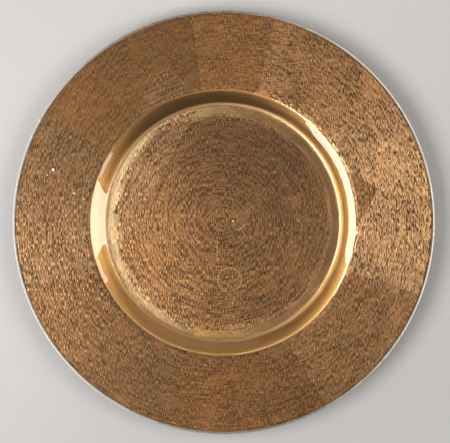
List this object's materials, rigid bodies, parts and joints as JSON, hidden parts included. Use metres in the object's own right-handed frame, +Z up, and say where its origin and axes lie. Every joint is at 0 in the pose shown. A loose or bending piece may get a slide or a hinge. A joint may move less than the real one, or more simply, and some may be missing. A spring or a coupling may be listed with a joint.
{
  "type": "charger plate",
  "caption": "Round glass charger plate with a wide flat rim and a shallow well, gilded on its back with metal leaf under a seal coat and standing on small bumpers.",
  "frame": {"origin": "centre of the plate on the plane that its bumpers stand on", "axes": "+Z up along the axis of the plate, out of the well; +Y towards the top of the plate as the picture shows it, +X to its right"},
  "size_m": [0.33, 0.33, 0.0177],
  "materials": {
    "glass": "clear pressed glass with a ground edge",
    "leaf": "imitation gold leaf, brushed out in rings behind the glass",
    "seal": "bronze-brown seal coat, brushed on",
    "bumper": "soft translucent bumper"
  },
  "bodies": {
    "root": {"glass_plate": "glass", "leaf_left": "leaf", "leaf_lower_left": "leaf", "leaf_bottom": "leaf", "leaf_lower_right": "leaf", "leaf_upper_left": "leaf", "leaf_top": "leaf", "leaf_upper_right": "leaf", "leaf_right": "leaf", "leaf_well_left": "leaf", "leaf_well": "leaf", "seal_coat": "seal", "bumper_upper_right": "bumper", "bumper_upper_left": "bumper", "bumper_lower_left": "bumper", "bumper_lower_right": "bumper"}
  },
  "joints": []
}
